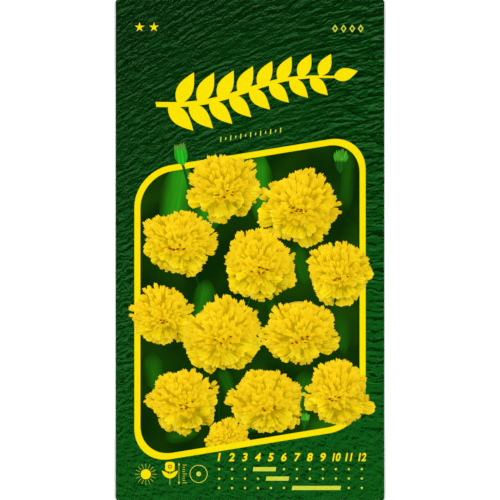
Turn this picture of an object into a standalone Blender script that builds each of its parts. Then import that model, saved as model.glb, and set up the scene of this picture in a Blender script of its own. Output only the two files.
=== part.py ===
# Seed packet: a folded paper envelope, glued at its back seam and both end flaps, with seeds inside.
#
# The packet lies on its back with its printed front facing +Z and its top edge towards +Y.
# The origin is on the surface under the middle of the packet. All sizes are in metres.

import math
import random

import bmesh
import bpy
from mathutils import Matrix

# Driving dimensions of the envelope
WIDTH = 0.0800
HEIGHT = 0.1492
PAPER = 0.00015
LAYER_GAP = 0.0003
SIDE_FOLD_DEPTH = 0.00015
SIDE_FOLD_HALF_HEIGHT = 0.00025
END_FOLD_DEPTH = 0.00022
SEAM_OVERLAP = 0.010
SEAM_STEP_WIDTH = 0.006
BOTTOM_FLAP = 0.014
TOP_FLAP = 0.018
FLAP_TAPER = 0.004
CORNER_NOTCH = 0.00015
FLAP_STEP_WIDTH = 0.010

# How far the filled packet's front stands above its side folds
SEED_BULGE = 0.0024
END_BULGE = 0.0006
ACROSS_POWER = 0.7
ALONG_POWER = 0.8
ALONG_SKEW = 0.85

# Mesh fineness, and how near two points are when they are one
FRONT_CELLS_X = 14
FRONT_CELLS_Y = 26
FOLD_STEPS = 4
FLAP_CELLS = 2
OUTER_WING_CELLS = 5
INNER_WING_CELLS = 3
SEAM_STEP_CELLS = 3
WELD = 0.000002

# Glue lines
GLUE = 0.00012
SEAM_GLUE_WIDTH = 0.006
FLAP_GLUE_WIDTH = 0.007
FLAP_GLUE_LENGTH = 0.062
SEAM_GLUE_END = 0.003

# Seeds: slim dry fruits with a tuft of stiff scales at one end
SEED_COUNT = 64
SEED_LENGTH = 0.0095
SEED_RADIUS = 0.00045
SEED_SIDES = 5
SEED_SHARP_ANGLE = math.radians(50)
SEED_WELD = 0.000005
SEED_CLEARANCE = 0.0003
SEED_HEIGHT_SCATTER = 0.5
SEED_PATCH = (0.0125, 0.024)
SEED_PATCH_CENTRE_Y = -0.018
RANDOM_SEED = 7

# Plain looks of each solid: colour and roughness
PAPER_LOOK = ((0.004, 0.075, 0.022), 0.45)
GLUE_LOOK = ((0.75, 0.68, 0.48), 0.5)
SEED_LOOK = ((0.022, 0.018, 0.014), 0.7)

# Worked out from the sizes above: mid-surface of the paper, and where its folds begin
STEP = PAPER + LAYER_GAP
FRONT_X = WIDTH / 2 - SIDE_FOLD_DEPTH - PAPER / 2
FRONT_Y = HEIGHT / 2 - END_FOLD_DEPTH - PAPER / 2
WING_END_Y = FRONT_Y - CORNER_NOTCH
SEAM_HALF = SEAM_OVERLAP / 2


def smooth_step(edge0, edge1, value):
    """0 before edge0, 1 after edge1, and a smooth rise between them."""
    t = max(0.0, min(1.0, (value - edge0) / (edge1 - edge0)))
    return t * t * (3 - 2 * t)


def outer_wing_level(y):
    """Height of the outer wing: on the surface between the flaps, and one layer up over each."""
    over_bottom = smooth_step(-HEIGHT / 2 + BOTTOM_FLAP + FLAP_STEP_WIDTH, -HEIGHT / 2 + BOTTOM_FLAP, y)
    over_top = smooth_step(HEIGHT / 2 - TOP_FLAP - FLAP_STEP_WIDTH, HEIGHT / 2 - TOP_FLAP, y)
    return PAPER / 2 + STEP * (over_bottom + over_top)


def inner_wing_level(x, y):
    """Height of the inner wing, which steps up over the outer wing's free edge."""
    over_seam = smooth_step(-SEAM_HALF - SEAM_STEP_WIDTH, -SEAM_HALF, x)
    return outer_wing_level(y) + STEP * over_seam


def front_level(x, y):
    """Height of the front panel, which the seeds push up most a little below its middle."""
    across = max(0.0, 1 - (x / FRONT_X) ** 2) ** ACROSS_POWER
    share = min(1.0, max(0.0, 0.5 + y / (2 * FRONT_Y)))
    along = math.sin(math.pi * share ** ALONG_SKEW) ** ALONG_POWER
    rise = across * (END_BULGE + (SEED_BULGE - END_BULGE) * along)
    return outer_wing_level(y) + 2 * SIDE_FOLD_HALF_HEIGHT + rise


def spread(low, high, cells):
    """Evenly spaced values from low to high."""
    return [low + (high - low) * i / cells for i in range(cells + 1)]


def inset_lines(half, cells):
    """Grid lines across a panel, with a narrow cell at each end for the corner notches."""
    inner = half - CORNER_NOTCH
    return [-half] + spread(-inner, inner, cells) + [half]


def grid(bm, rows):
    """Adds the quads between rows of points."""
    made = [[bm.verts.new(point) for point in row] for row in rows]
    for low, high in zip(made, made[1:]):
        for i in range(len(low) - 1):
            bm.faces.new((low[i], low[i + 1], high[i + 1], high[i]))


def side_fold(side, y):
    """Points of a side fold at one height, from the front panel round to the wing."""
    points = []
    middle = outer_wing_level(y) + SIDE_FOLD_HALF_HEIGHT
    for angle in spread(math.pi / 2, -math.pi / 2, FOLD_STEPS):
        x = side * (FRONT_X + SIDE_FOLD_DEPTH * math.cos(angle))
        points.append((x, y, middle + SIDE_FOLD_HALF_HEIGHT * math.sin(angle)))
    return points


def end_fold(side, x):
    """Points of the top or bottom fold at one place, from the front panel round to the flap."""
    points = []
    top = front_level(x, side * FRONT_Y)
    middle = (top + PAPER / 2) / 2
    half = (top - PAPER / 2) / 2
    for angle in spread(math.pi / 2, -math.pi / 2, FOLD_STEPS):
        y = side * (FRONT_Y + END_FOLD_DEPTH * math.cos(angle))
        points.append((x, y, middle + half * math.sin(angle)))
    return points


def flap_points(side, x, length):
    """Points of an end flap, whose sides taper towards its free edge."""
    points = []
    reach = length - END_FOLD_DEPTH
    for share in spread(0.0, 1.0, FLAP_CELLS):
        narrower = 1 - share * FLAP_TAPER / FRONT_X
        points.append((x * narrower, side * (FRONT_Y - reach * share), PAPER / 2))
    return points


def paper_sheet():
    """The whole blank as one open surface, folded into the envelope."""
    bm = bmesh.new()
    x_lines = inset_lines(FRONT_X, FRONT_CELLS_X)
    y_lines = inset_lines(FRONT_Y, FRONT_CELLS_Y)
    fold_y = y_lines[1:-1]
    fold_x = x_lines[1:-1]
    grid(bm, [[(x, y, front_level(x, y)) for x in x_lines] for y in y_lines])
    grid(bm, [side_fold(1, y) for y in fold_y])
    grid(bm, [side_fold(-1, y) for y in reversed(fold_y)])
    grid(bm, [end_fold(-1, x) for x in fold_x])
    grid(bm, [end_fold(1, x) for x in reversed(fold_x)])
    outer_x = spread(FRONT_X, -SEAM_HALF, OUTER_WING_CELLS)
    grid(bm, [[(x, y, outer_wing_level(y)) for x in outer_x] for y in fold_y])
    step_start = -SEAM_HALF - SEAM_STEP_WIDTH
    flat_x = spread(-FRONT_X, step_start, INNER_WING_CELLS)
    step_x = spread(step_start, -SEAM_HALF, SEAM_STEP_CELLS)
    inner_x = flat_x + step_x[1:] + [SEAM_HALF]
    grid(bm, [[(x, y, inner_wing_level(x, y)) for x in inner_x] for y in reversed(fold_y)])
    grid(bm, [flap_points(-1, x, BOTTOM_FLAP) for x in fold_x])
    grid(bm, [flap_points(1, x, TOP_FLAP) for x in reversed(fold_x)])
    bmesh.ops.remove_doubles(bm, verts=bm.verts, dist=WELD)
    bmesh.ops.recalc_face_normals(bm, faces=bm.faces)
    return bm


def solid_sheet(name, bm, thickness, collection):
    """An object of the sheet, given its thickness evenly about its mid-surface."""
    mesh = bpy.data.meshes.new(name)
    bm.to_mesh(mesh)
    bm.free()
    obj = bpy.data.objects.new(name, mesh)
    collection.objects.link(obj)
    solidify = obj.modifiers.new("thickness", "SOLIDIFY")
    solidify.thickness = thickness
    solidify.offset = 0.0
    solidify.use_even_offset = True
    mesh.shade_smooth()
    return obj


def make_material(name, colour, roughness):
    """A plain Principled material."""
    material = bpy.data.materials.new(name)
    material.use_nodes = True
    shader = material.node_tree.nodes["Principled BSDF"]
    shader.inputs["Base Color"].default_value = (*colour, 1.0)
    shader.inputs["Roughness"].default_value = roughness
    shader.inputs["Metallic"].default_value = 0.0
    return material


def make_envelope(collection):
    """The folded paper envelope."""
    envelope = solid_sheet("envelope", paper_sheet(), PAPER, collection)
    envelope.data.materials.append(make_material("printed_paper", *PAPER_LOOK))


def make_glue(name, x_lines, y_lines, level, collection, material):
    """A thin strip of glue between two layers of paper."""
    bm = bmesh.new()
    grid(bm, [[(x, y, level(x, y)) for x in x_lines] for y in y_lines])
    strip = solid_sheet(name, bm, GLUE, collection)
    strip.data.materials.append(material)


def make_glue_lines(collection):
    """The glue of the back seam and of both flaps, each in the middle of its layer gap."""
    material = make_material("dry_glue", *GLUE_LOOK)
    seam_x = [-SEAM_GLUE_WIDTH / 2, SEAM_GLUE_WIDTH / 2]
    seam_end = WING_END_Y - SEAM_GLUE_END
    seam_y = spread(-seam_end, seam_end, FRONT_CELLS_Y)
    make_glue("glue_seam", seam_x, seam_y, lambda x, y: outer_wing_level(y) + STEP / 2, collection, material)
    flap_x = [-FLAP_GLUE_LENGTH / 2, FLAP_GLUE_LENGTH / 2]
    for name, side, length in (("glue_bottom_flap", -1, BOTTOM_FLAP), ("glue_top_flap", 1, TOP_FLAP)):
        middle = side * (HEIGHT / 2 - length / 2)
        flap_y = [middle - FLAP_GLUE_WIDTH / 2, middle + FLAP_GLUE_WIDTH / 2]
        make_glue(name, flap_x, flap_y, lambda x, y: PAPER / 2 + STEP / 2, collection, material)


def seed_profile():
    """Half outline of one seed, from its tuft down its outer side to its pointed foot."""
    shape = ((0.0, 0.5), (0.95, 0.5), (0.6, 0.15), (1.0, -0.02), (0.0, -0.5))
    return [(share * SEED_RADIUS, height * SEED_LENGTH) for share, height in shape]


def seed_mesh():
    """One seed, its profile turned about its length."""
    profile = seed_profile()
    mesh = bpy.data.meshes.new("seed_profile")
    points = [(x, 0.0, z) for x, z in profile]
    mesh.from_pydata(points, [(i, i + 1) for i in range(len(points) - 1)], [])
    obj = bpy.data.objects.new("seed_profile", mesh)
    bpy.context.scene.collection.objects.link(obj)
    screw = obj.modifiers.new("turn", "SCREW")
    screw.steps = SEED_SIDES
    screw.render_steps = SEED_SIDES
    screw.use_merge_vertices = True
    screw.merge_threshold = SEED_WELD
    graph = bpy.context.evaluated_depsgraph_get()
    turned = bpy.data.meshes.new_from_object(obj.evaluated_get(graph))
    bpy.data.objects.remove(obj)
    return turned


def seed_places():
    """Where the seeds lie: a flat heap, each seed level and turned its own way."""
    rng = random.Random(RANDOM_SEED)
    places = []
    for index in range(SEED_COUNT):
        reach = math.sqrt((index + 0.5) / SEED_COUNT)
        bearing = index * math.pi * (3 - math.sqrt(5))
        x = SEED_PATCH[0] * reach * math.cos(bearing)
        y = SEED_PATCH_CENTRE_Y + SEED_PATCH[1] * reach * math.sin(bearing)
        turn = rng.uniform(0, 2 * math.pi)
        floor = STEP + PAPER + SEED_CLEARANCE + SEED_RADIUS
        z = floor + rng.uniform(0.0, SEED_HEIGHT_SCATTER) * SEED_RADIUS
        flat = Matrix.Rotation(math.pi / 2, 4, "X")
        places.append(Matrix.Translation((x, y, z)) @ Matrix.Rotation(turn, 4, "Z") @ flat)
    return places


def make_seeds(collection):
    """The loose seeds as one fused heap."""
    mesh = seed_mesh()
    repeats = bpy.data.collections.new("seed repeats")
    bpy.context.scene.collection.children.link(repeats)
    heap = None
    for index, place in enumerate(seed_places()):
        obj = bpy.data.objects.new(f"seed_{index}", mesh.copy())
        obj.data.transform(place)
        if heap is None:
            heap = obj
            collection.objects.link(obj)
        else:
            repeats.objects.link(obj)
    union = heap.modifiers.new("union", "BOOLEAN")
    union.operation = "UNION"
    union.operand_type = "COLLECTION"
    union.collection = repeats
    union.solver = "EXACT"
    graph = bpy.context.evaluated_depsgraph_get()
    heap.data = bpy.data.meshes.new_from_object(heap.evaluated_get(graph))
    heap.modifiers.clear()
    for obj in list(repeats.objects):
        bpy.data.objects.remove(obj)
    bpy.data.collections.remove(repeats)
    keep_largest_piece(heap.data)
    heap.name = "seeds"
    heap.data.shade_smooth()
    heap.data.set_sharp_from_angle(angle=SEED_SHARP_ANGLE)
    heap.data.materials.clear()
    heap.data.materials.append(make_material("dry_seed", *SEED_LOOK))


def keep_largest_piece(mesh):
    """Drops the loose scraps that touch nothing else."""
    bm = bmesh.new()
    bm.from_mesh(mesh)
    left = set(bm.verts)
    pieces = []
    while left:
        piece = set()
        edge_of_piece = [left.pop()]
        while edge_of_piece:
            vert = edge_of_piece.pop()
            piece.add(vert)
            for edge in vert.link_edges:
                other = edge.other_vert(vert)
                if other in left:
                    left.remove(other)
                    edge_of_piece.append(other)
        pieces.append(piece)
    pieces.sort(key=len)
    scraps = [vert for piece in pieces[:-1] for vert in piece]
    bmesh.ops.delete(bm, geom=scraps, context="VERTS")
    bm.to_mesh(mesh)
    bm.free()


def main():
    for obj in list(bpy.data.objects):
        bpy.data.objects.remove(obj)
    collection = bpy.data.collections.new("seed packet")
    bpy.context.scene.collection.children.link(collection)
    make_envelope(collection)
    make_glue_lines(collection)
    make_seeds(collection)


main()
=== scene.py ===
# Seed packet, the looks: printed front and back, folded paper, glue and seeds, on a pale floor.
#
# Sizes are in millimetres and become metres as each mesh is made. +Z is out of the printed front.

import math
import random

import bmesh
import bpy
import numpy as np
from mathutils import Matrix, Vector, geometry


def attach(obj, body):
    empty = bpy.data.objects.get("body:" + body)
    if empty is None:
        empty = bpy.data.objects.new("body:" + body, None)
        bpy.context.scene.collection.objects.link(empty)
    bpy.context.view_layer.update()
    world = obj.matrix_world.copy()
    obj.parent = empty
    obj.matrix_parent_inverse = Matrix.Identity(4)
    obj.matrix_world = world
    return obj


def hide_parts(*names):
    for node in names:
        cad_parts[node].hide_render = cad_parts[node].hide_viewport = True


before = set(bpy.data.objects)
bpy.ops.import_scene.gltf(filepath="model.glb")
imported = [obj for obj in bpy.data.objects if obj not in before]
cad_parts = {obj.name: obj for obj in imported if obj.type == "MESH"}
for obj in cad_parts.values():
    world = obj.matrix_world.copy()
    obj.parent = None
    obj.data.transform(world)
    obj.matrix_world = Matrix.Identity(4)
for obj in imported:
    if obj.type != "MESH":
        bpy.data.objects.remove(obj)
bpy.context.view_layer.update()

MM = 0.001

# The folded paper, as the solid envelope has it
WIDTH = 80.0
HEIGHT = 149.2
PAPER = 0.15
LAYER_GAP = 0.3
SIDE_FOLD_DEPTH = 0.15
SIDE_FOLD_HALF_HEIGHT = 0.25
END_FOLD_DEPTH = 0.22
SEAM_OVERLAP = 10.0
SEAM_STEP_WIDTH = 6.0
BOTTOM_FLAP = 14.0
TOP_FLAP = 18.0
FLAP_TAPER = 4.0
CORNER_NOTCH = 0.15
FLAP_STEP_WIDTH = 10.0
SEED_BULGE = 2.4
END_BULGE = 0.6
ACROSS_POWER = 0.7
ALONG_POWER = 0.8
ALONG_SKEW = 0.85
STEP = PAPER + LAYER_GAP
FRONT_X = WIDTH / 2 - SIDE_FOLD_DEPTH - PAPER / 2
FRONT_Y = HEIGHT / 2 - END_FOLD_DEPTH - PAPER / 2
SEAM_HALF = SEAM_OVERLAP / 2

# The visible paper is thinner than the solid's, so that the ink on it stays within the solid's size
VISUAL_PAPER = 0.12
INK_LIFT = 0.012
PAPER_CELLS_X = 80
PAPER_CELLS_Y = 148
FOLD_STEPS = 8
FLAP_CELLS = 6
WING_CELLS = 12
STEP_CELLS = 8
WELD = 0.002

# How the ink is cut: twice the least area kept, the longest edge, the net of loose points, how near
# two points are one, and the cutter's code for triangles inside the outlines
SLIVER = 0.0002
LONGEST_EDGE = 2.0
NET_SPACING = 1.6
CUT_PRECISION = 1e-5
TRIANGLES_INSIDE = 1

# A surface that reflects this share of the stage's light shows as full white. The print barely shines
REFLECTANCE = 0.78
PRINT_SPECULAR = 0.01

# How deep the bumps are on the paper, the glue and the seeds, in metres
GRAIN_DEPTH = 0.00003
GLUE_DEPTH = 0.00005
RIDGE_DEPTH = 0.0001

# The stage, in metres
LIGHTS = 4
LIGHT_POWER = 3.36
LIGHT_SIZE = 0.6
LIGHT_OUT = 0.5
LIGHT_HEIGHT = 0.9
WORLD_STRENGTH = 0.20
FLOOR_RADIUS = 3.0
FLOOR_DROP = 0.0002

# The camera's lens and sensor, and how much larger than the picture's height the packet shows
CAMERA_LENS = 500.0
CAMERA_SENSOR = 36.0
PHOTO_CROP = 1.0025

# The picture's frame on the front: a rounded rectangle, sheared so that its ends rise to the right
FRAME_HALF_WIDTH = 34.40
FRAME_TOP = 29.05
FRAME_BOTTOM = -58.35
FRAME_RISE = 0.163
FRAME_RADIUS = 10.7
FRAME_RADIUS_LOSS = 0.7
FRAME_BAND = 1.77
CORNER_STEPS = 14

# Blooms of the picture: centre and radius. The frame cuts one of them off
PICTURE_SEED = 21
CUT_BLOOM = ((-6.6, -56.4), 6.1)
BLOOMS = (
    ((14.8, 12.6), 10.7),
    ((-7.8, 18.6), 9.9),
    ((-20.8, 2.2), 9.7),
    ((2.8, -4.4), 10.1),
    ((26.4, -6.8), 8.9),
    ((-26.0, -19.4), 8.7),
    ((14.8, -24.6), 10.0),
    ((-8.0, -25.4), 10.7),
    ((4.8, -45.0), 9.9),
    ((-19.8, -45.0), 9.4),
    ((26.2, -42.6), 9.2),
)
CREST_PETALS = 300
HEART_LEAN = 6
CREST_LEAN = 76
CREST_LEAN_POWER = 0.62
RIM_PETALS = 34
RIM_LEAN = math.radians(84)
BLOOM_TILT = math.radians(25)
BLOOM_HEIGHT = 0.62
BACKING_HALF_WIDTH = 0.88
BACKING_HALF_HEIGHT = 0.84
BACKING_TINT = (0.92, 0.2, 0.95)
CREST_LIGHT = 0.905
SKIRT_LIGHT = 1.03
FACING_LIGHT = 0.15

# Tiers of a bloom's skirt: petals, lean in degrees, length as an angle, least and most growth
SKIRT_TIERS = ((8, 84, 0.72, 1.00, 1.22), (6, 54, 0.60, 0.96, 1.14))
SKIRT_HALF_ANGLE = 1.45

# Buds: centre, size, lean and brightness, or centre and lean alone for the one still closed.
# Stems: start, bend, end, half width and brightness
LOW_BUD = ((16.4, -50.2), 1.5, -0.1, 0.9)
HIGH_BUD = ((27.0, 27.2), 2.4, -0.05, 0.85)
HIGH_BUD_STEM = ((25.0, 8.0), (26.6, 17.0), (27.0, 24.0), 0.38, 0.6)
CLOSED_BUD = ((-20.4, 27.6), 0.16)
CLOSED_BUD_STEM = ((-16.6, 6.0), (-17.5, 18.0), (-20.2, 26.0), 0.42, 0.9)
THIN_STEMS = (
    ((-2.0, -20.0), (4.5, -4.0), (3.5, 16.0), 0.30, 0.75),
    ((-14.0, -40.0), (-11.0, -24.0), (-16.0, -8.0), 0.28, 0.7),
    ((9.0, -34.0), (6.0, -22.0), (8.5, -8.0), 0.26, 0.6),
    ((20.0, -34.0), (25.0, -20.0), (23.5, -4.0), 0.28, 0.6),
    ((-28.0, -8.0), (-30.0, 8.0), (-26.0, 18.0), 0.26, 0.5),
    ((-8.0, -58.0), (-10.5, -48.0), (-8.0, -36.0), 0.28, 0.65),
    ((16.6, -56.0), (15.6, -54.0), (16.3, -51.4), 0.3, 0.9),
    ((6.0, 8.0), (4.0, 18.0), (6.4, 27.0), 0.24, 0.5),
)

# Blurred leaves behind the blooms: foot x and y, bearing, length, half width, brightness
SOFT_LEAVES = (
    (-12.0, 4, 1.60, 26, 5.4, 1.0),
    (-23.5, 4, 1.42, 25, 5.4, 1.1),
    (4.0, 6, 1.62, 25, 4.2, 0.9),
    (28.0, 10, 1.50, 22, 2.9, 0.3),
    (13.0, 2, -1.25, 14, 3.5, 0.4),
    (-12.5, -8, -1.75, 16, 3.8, 0.7),
    (6.0, -14, -1.3, 12, 2.2, 0.4),
    (27.0, -18, -1.5, 14, 2.7, 0.35),
    (-29.5, -30, -1.4, 14, 3.5, 0.5),
    (17.0, -35, -1.7, 16, 4.2, 0.5),
    (-9.0, -34, -1.2, 14, 2.6, 0.4),
    (-7.0, -50, -0.2, 12, 3.5, 0.6),
    (17.0, -54, 0.4, 12, 2.9, 0.5),
    (0.0, 22, 1.9, 10, 1.9, 0.5),
    (-26.0, -56, 0.2, 12, 2.9, 0.4),
)

# The leather print, from where each change begins to where it is whole: the wrinkles ruffle at the
# left, folds take over at the right and pores at the bottom, and the print grows lighter on a slant
RUFFLED_X = (-20.0, -34.0)
RUFFLED_Y = (16.0, -8.0)
FOLDS_X = (10.0, 30.0)
PORES_Y = (-40.0, -60.0)
LIGHTER_SLANT = 0.6
LIGHTER_FROM_TO = (-84.0, 56.0)

# The marks on the front: the sprig and its rule slant by the title turn
TITLE_TURN = math.radians(8.7)
SPRIG_CENTRE = (-1.3, 47.4)
RULE_CENTRE = (0.2, 34.3)
TOP_MARKS_Y = 66.3
STAR_XS = (-32.87, -28.58)
STAR_RADIUS = 1.52
STAR_INNER_SHARE = 0.36
LOZENGES = 4
LOZENGE_X = 25.3
LOZENGE_PITCH = 2.55
LOZENGE_DROP = 0.4
SUN_CENTRE = (-31.0, -66.72)
SUN_CORE = 1.49
SUN_REACH = 3.2
PLANT_CENTRE = (-23.83, -66.7)
SCALE_X = -21.15
SCALE_LOW = -69.8
SCALE_HIGH = -63.22
SPACING_CENTRE = (-15.28, -66.6)

# The calendar: each row's height, and the months with a bar, counted from 0
MONTHS = 12
CALENDAR_LEFT = -9.2
CALENDAR_PITCH = 3.86
CALENDAR_ROWS = ((-65.2, (3, 4)), (-68.0, (4, 5)), (-70.8, (6, 7, 8, 9)))
NUMBERS_Y = -61.75
NUMBER_SIZE = 3.3
NUMBER_BOLD = 0.10
NUMBER_LEAN = 0.18
TWO_DIGIT_WIDTH = 0.82
BAR_HALF_HEIGHT = 0.62
BAR_END = 1.45
DOT_RADIUS = 0.34

# The panel printed on the back's outer wing: its corners, months' boxes and sowing pictures
BACK_LOW = (0.0, -46.0)
BACK_HIGH = (36.0, 44.0)
BACK_RADIUS = 3.0
BACK_BAND = 0.9
BACK_MARGIN = 3.0
BACK_COLUMNS = 3
BACK_PITCH = 9.4
BACK_GRID_TOP = 39.4
BACK_FILLED = (3, 4, 6, 7, 8, 9)
BACK_BOX_GAP = 0.7
BACK_BOX_RADIUS = 1.2
BACK_BOX_LINE = 0.3
BACK_NUMBER_SIZE = 5.0
BACK_GUIDES_TOP = -10.2
BACK_GUIDES_PITCH = 11.5

# Kinds of printed region, which are also the print's material slots
INK, THIN, GROUND, SOFT_LEAF, PETAL, BUD, SPECK, FIELD, DARK_INK = range(9)


def srgb(red, green, blue, alpha=1.0):
    """A colour as it should show, 0 to 255, as the linear colour that a shader takes."""
    return tuple(REFLECTANCE * (c / 255) ** 2.2 for c in (red, green, blue)) + (alpha,)


def tint_of(red, green, blue):
    """A colour as a region's tint, which has no alpha."""
    return srgb(red, green, blue)[:3]


# The direction of the picture's own light, and the bearing of up
KEY_LIGHT = Vector((-0.35, 0.55, 0.75)).normalized()
UP = math.pi / 2


def spread(low, high, cells):
    """Evenly spaced values from low to high."""
    return [low + (high - low) * i / cells for i in range(cells + 1)]


def middles(count):
    """The middles of equal parts of the range from -1 to 1."""
    return [(i + 0.5) / count * 2 - 1 for i in range(count)]


def smooth_step(edge0, edge1, value):
    """0 before edge0, 1 after edge1, and a smooth rise between them."""
    t = np.clip((value - edge0) / (edge1 - edge0), 0.0, 1.0)
    return t * t * (3 - 2 * t)


def configured(thing, **settings):
    """The same thing, with these properties of it set."""
    for key, value in settings.items():
        setattr(thing, key, value)
    return thing


def add_object(name, data):
    """A new object in the scene."""
    obj = bpy.data.objects.new(name, data)
    bpy.context.scene.collection.objects.link(obj)
    return obj


def outer_wing_level(y):
    """Height of the outer wing: on the surface between the flaps, and one layer up over each."""
    over_bottom = smooth_step(-HEIGHT / 2 + BOTTOM_FLAP + FLAP_STEP_WIDTH, -HEIGHT / 2 + BOTTOM_FLAP, y)
    over_top = smooth_step(HEIGHT / 2 - TOP_FLAP - FLAP_STEP_WIDTH, HEIGHT / 2 - TOP_FLAP, y)
    return PAPER / 2 + STEP * (over_bottom + over_top)


def inner_wing_level(x, y):
    """Height of the inner wing, which steps up over the outer wing's free edge."""
    return outer_wing_level(y) + STEP * smooth_step(-SEAM_HALF - SEAM_STEP_WIDTH, -SEAM_HALF, x)


def front_level(x, y):
    """Height of the front panel's middle surface over a point."""
    across = np.clip(1 - (x / FRONT_X) ** 2, 0, 1) ** ACROSS_POWER
    share = np.clip(0.5 + y / (2 * FRONT_Y), 0, 1)
    along = np.clip(np.sin(math.pi * share ** ALONG_SKEW), 0, 1) ** ALONG_POWER
    rise = across * (END_BULGE + (SEED_BULGE - END_BULGE) * along)
    return outer_wing_level(y) + 2 * SIDE_FOLD_HALF_HEIGHT + rise


def front_ink_level(x, y):
    """Height of the ink on the front panel."""
    return front_level(x, y) + VISUAL_PAPER / 2 + INK_LIFT


def back_ink_level(x, y):
    """Height of the ink under the back's outer wing."""
    return outer_wing_level(y) - VISUAL_PAPER / 2 - INK_LIFT


# Shader building


class Value:
    """A number or colour that a material's nodes work out."""

    def __init__(self, tree, socket):
        self.tree = tree
        self.socket = socket

    def __add__(self, other):
        return self.tree.math("ADD", self, other)

    def __sub__(self, other):
        return self.tree.math("SUBTRACT", self, other)

    def __mul__(self, other):
        return self.tree.math("MULTIPLY", self, other)

    def __abs__(self):
        return self.tree.math("ABSOLUTE", self)

    def ramp(self, low, high, new_low=0.0, new_high=1.0, kind="LINEAR"):
        """Goes from new_low to new_high as this goes from low to high, and no further."""
        inputs = {"Value": self, "From Min": low, "From Max": high, "To Min": new_low, "To Max": new_high}
        return self.tree.value("MapRange", inputs, "Result", interpolation_type=kind)

    def ease(self, low, high, new_low=0.0, new_high=1.0):
        """The same change with smooth ends."""
        return self.ramp(low, high, new_low, new_high, "SMOOTHSTEP")

    def between(self, start, end):
        """Goes from start to end as this goes from 0 to 1."""
        return self.ramp(0.0, 1.0, start, end)

    def beyond(self, half):
        """Drawn towards zero by a half width, and zero within it."""
        above = self.tree.math("MAXIMUM", self - half, 0.0)
        return above + self.tree.math("MINIMUM", self + half, 0.0)


class Tree:
    """A material's node tree, with short calls for the nodes used here."""

    def __init__(self, name):
        self.material = bpy.data.materials.new(name)
        self.material.use_nodes = True
        self.nodes = self.material.node_tree.nodes
        self.links = self.material.node_tree.links
        self.shader = self.nodes["Principled BSDF"]

    def set(self, socket, value):
        if isinstance(value, Value):
            self.links.new(value.socket, socket)
        else:
            socket.default_value = value

    def add(self, kind, inputs, **settings):
        node = configured(self.nodes.new("ShaderNode" + kind), **settings)
        for key, value in inputs.items():
            self.set(node.inputs[key], value)
        return node

    def value(self, kind, inputs, output=0, **settings):
        return Value(self, self.add(kind, inputs, **settings).outputs[output])

    def math(self, operation, first, second=0.0):
        return self.value("Math", {0: first, 1: second}, operation=operation)

    def mix(self, share, first, second):
        """From one colour to another."""
        return self.value("Mix", {"Factor": share, 6: first, 7: second}, 2, data_type="RGBA")

    def blend(self, share, first, second):
        """From one number to another."""
        return self.value("Mix", {"Factor": share, 2: first, 3: second})

    def combine(self, x, y, z=0.0):
        """A place in the noise. A z of its own keeps one pattern from following another."""
        return self.value("CombineXYZ", {"X": x, "Y": y, "Z": z})

    def split(self, vector):
        return [Value(self, part) for part in self.add("SeparateXYZ", {0: vector}).outputs]

    def scale(self, vector, size):
        return self.value("VectorMath", {0: vector, "Scale": size}, operation="SCALE")

    def noise(self, vector, scale, detail=2.0, roughness=0.5, distortion=0.0):
        inputs = {"Vector": vector, "Scale": scale, "Detail": detail, "Roughness": roughness}
        return self.value("TexNoise", {**inputs, "Distortion": distortion}, "Fac")

    def millimetres(self):
        """The object's own coordinates in millimetres."""
        return self.scale(self.value("TexCoord", {}, "Object"), 1 / MM)

    def carried(self, name):
        """The vector that each corner of the print carries under this name."""
        return self.value("Attribute", {}, "Vector", attribute_name=name)

    def bump(self, height, strength, distance):
        inputs = {"Height": height, "Strength": strength, "Distance": distance}
        self.set(self.shader.inputs["Normal"], self.value("Bump", inputs))

    def finish(self, colour, roughness, specular=PRINT_SPECULAR):
        self.set(self.shader.inputs["Base Color"], colour)
        self.set(self.shader.inputs["Roughness"], roughness)
        self.shader.inputs["Specular IOR Level"].default_value = specular
        return self.material


def paper_grain(tree, strength=0.12):
    """Fine fibre relief of the paper under the ink, and a roughness that varies with it."""
    place = tree.millimetres()
    tree.bump(tree.noise(place, 3.2, 3.0, 0.6), strength, GRAIN_DEPTH)
    return tree.noise(place, 0.12).ramp(0.3, 0.7, 0.40, 0.50)


def printed(name, colour_of, *values):
    """A material printed on the paper, whose colour a function of its tree and these values makes."""
    tree = Tree(name)
    return tree.finish(colour_of(tree, *values), paper_grain(tree))


def emboss(tree, across, along, scale, stretch, reach, detail, roughness):
    """Printed relief: how much a streaky height rises over a short way across its streaks."""
    ahead, behind = (tree.combine((across + shift) * scale, along * stretch) for shift in (reach, -reach))
    return tree.noise(ahead, 1.0, detail, roughness) - tree.noise(behind, 1.0, detail, roughness)


def leather_wrinkles(tree, across, x, fine):
    """Close wrinkles: embossed streaks, some waves among them, and fine grain."""
    along = x + tree.math("MINIMUM", x + 15.0, 0.0) * 0.8
    phase = tree.noise(tree.combine(across * 0.22, along * 0.09), 1.0, 2.0, 0.6)
    swell = tree.noise(tree.combine(across * 0.4, along * 0.12, 7.0), 1.0).ramp(0.36, 0.64)
    waves = tree.math("SINE", across * 3.1 + phase * 14.0) * swell
    streaks = emboss(tree, across, along, scale=0.62, stretch=0.20, reach=0.25, detail=3.0, roughness=0.62)
    return streaks * 0.70 + waves * 0.12 + fine * 0.70


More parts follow.
